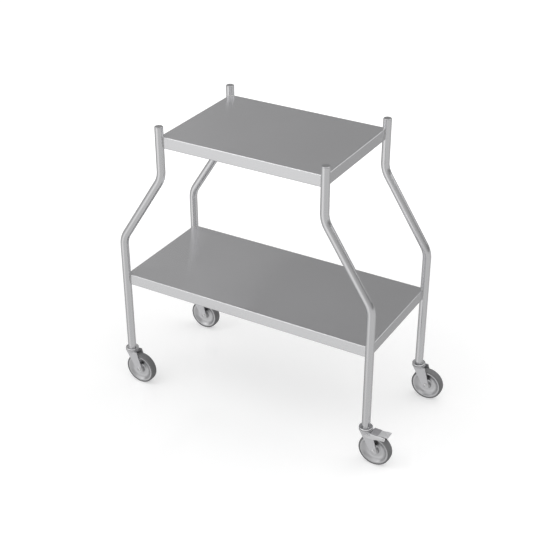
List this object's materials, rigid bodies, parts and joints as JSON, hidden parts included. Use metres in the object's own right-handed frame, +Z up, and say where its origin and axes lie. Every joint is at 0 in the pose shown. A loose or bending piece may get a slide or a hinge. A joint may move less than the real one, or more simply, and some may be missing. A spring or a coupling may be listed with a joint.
{
  "type": "catering trolley",
  "caption": "Stainless steel catering trolley with a short upper shelf and a long lower shelf on bent tube legs and swivel casters, some braked.",
  "frame": {"origin": "on the floor under the middle of the four legs", "axes": "+X along the long side, the way the casters trail; +Y from the front to the back; +Z up"},
  "size_m": [0.9285, 0.4195, 0.9],
  "materials": {
    "stainless_tube": "satin ground stainless tube",
    "stainless_sheet": "satin brushed stainless sheet",
    "fork_steel": "pressed steel, bright zinc plated",
    "zinc_hardware": "bright zinc plated steel",
    "bearing_steel": "hardened steel, greased",
    "wheel_alloy": "die-cast aluminium, satin",
    "tyre_rubber": "grey non-marking rubber",
    "bush_nylon": "natural nylon",
    "pedal_plastic": "dark grey moulded plastic",
    "shoe_rubber": "black rubber"
  },
  "bodies": {
    "frame": {"leg_front_left": "stainless_tube", "leg_front_right": "stainless_tube", "leg_back_left": "stainless_tube", "leg_back_right": "stainless_tube", "leg_caps": "stainless_tube", "upper_shelf": "stainless_sheet", "upper_stiffener_front": "stainless_sheet", "upper_stiffener_back": "stainless_sheet", "lower_shelf": "stainless_sheet", "lower_stiffener_front": "stainless_sheet", "lower_stiffener_back": "stainless_sheet", "tube_sockets": "zinc_hardware", "stem_bolts": "zinc_hardware", "head_nuts": "zinc_hardware", "head_covers": "zinc_hardware", "lower_races": "bearing_steel"},
    "caster_front_left": {"fork_front_left": "fork_steel", "bearing_balls_front_left": "bearing_steel", "axle_tube_front_left": "zinc_hardware", "axle_bolt_front_left": "zinc_hardware", "axle_nut_front_left": "zinc_hardware"},
    "wheel_front_left": {"wheel_centre_front_left": "wheel_alloy", "tyre_front_left": "tyre_rubber", "hub_bushes_front_left": "bush_nylon"},
    "caster_front_right": {"fork_front_right": "fork_steel", "bearing_balls_front_right": "bearing_steel", "axle_tube_front_right": "zinc_hardware", "axle_bolt_front_right": "zinc_hardware", "axle_nut_front_right": "zinc_hardware", "brake_pivots_front_right": "zinc_hardware"},
    "wheel_front_right": {"wheel_centre_front_right": "wheel_alloy", "tyre_front_right": "tyre_rubber", "hub_bushes_front_right": "bush_nylon"},
    "brake_front_right": {"brake_lever_front_right": "fork_steel", "brake_tread_front_right": "pedal_plastic", "brake_shoe_front_right": "shoe_rubber", "brake_shoe_pin_front_right": "zinc_hardware"},
    "caster_back_left": {"fork_back_left": "fork_steel", "bearing_balls_back_left": "bearing_steel", "axle_tube_back_left": "zinc_hardware", "axle_bolt_back_left": "zinc_hardware", "axle_nut_back_left": "zinc_hardware", "brake_pivots_back_left": "zinc_hardware"},
    "wheel_back_left": {"wheel_centre_back_left": "wheel_alloy", "tyre_back_left": "tyre_rubber", "hub_bushes_back_left": "bush_nylon"},
    "brake_back_left": {"brake_lever_back_left": "fork_steel", "brake_tread_back_left": "pedal_plastic", "brake_shoe_back_left": "shoe_rubber", "brake_shoe_pin_back_left": "zinc_hardware"},
    "caster_back_right": {"fork_back_right": "fork_steel", "bearing_balls_back_right": "bearing_steel", "axle_tube_back_right": "zinc_hardware", "axle_bolt_back_right": "zinc_hardware", "axle_nut_back_right": "zinc_hardware"},
    "wheel_back_right": {"wheel_centre_back_right": "wheel_alloy", "tyre_back_right": "tyre_rubber", "hub_bushes_back_right": "bush_nylon"}
  },
  "joints": [
    {"name": "swivel_front_left", "type": "hinge", "parent": "frame", "child": "caster_front_left", "pos_m": [-0.4125, -0.1875, 0.105], "axis": [0, 0, 1], "continuous": true},
    {"name": "roll_front_left", "type": "hinge", "parent": "caster_front_left", "child": "wheel_front_left", "pos_m": [-0.3795, -0.1875, 0.05], "axis": [0, 1, 0], "continuous": true},
    {"name": "swivel_front_right", "type": "hinge", "parent": "frame", "child": "caster_front_right", "pos_m": [0.4125, -0.1875, 0.105], "axis": [0, 0, 1], "continuous": true},
    {"name": "roll_front_right", "type": "hinge", "parent": "caster_front_right", "child": "wheel_front_right", "pos_m": [0.4455, -0.1875, 0.05], "axis": [0, 1, 0], "continuous": true},
    {"name": "brake_press_front_right", "type": "hinge", "parent": "caster_front_right", "child": "brake_front_right", "pos_m": [0.4225, -0.1875, 0.0975], "axis": [0, 1, 0], "range_deg": [0, 8]},
    {"name": "swivel_back_left", "type": "hinge", "parent": "frame", "child": "caster_back_left", "pos_m": [-0.4125, 0.1875, 0.105], "axis": [0, 0, 1], "continuous": true},
    {"name": "roll_back_left", "type": "hinge", "parent": "caster_back_left", "child": "wheel_back_left", "pos_m": [-0.3795, 0.1875, 0.05], "axis": [0, 1, 0], "continuous": true},
    {"name": "brake_press_back_left", "type": "hinge", "parent": "caster_back_left", "child": "brake_back_left", "pos_m": [-0.4025, 0.1875, 0.0975], "axis": [0, 1, 0], "range_deg": [0, 8]},
    {"name": "swivel_back_right", "type": "hinge", "parent": "frame", "child": "caster_back_right", "pos_m": [0.4125, 0.1875, 0.105], "axis": [0, 0, 1], "continuous": true},
    {"name": "roll_back_right", "type": "hinge", "parent": "caster_back_right", "child": "wheel_back_right", "pos_m": [0.4455, 0.1875, 0.05], "axis": [0, 1, 0], "continuous": true}
  ]
}
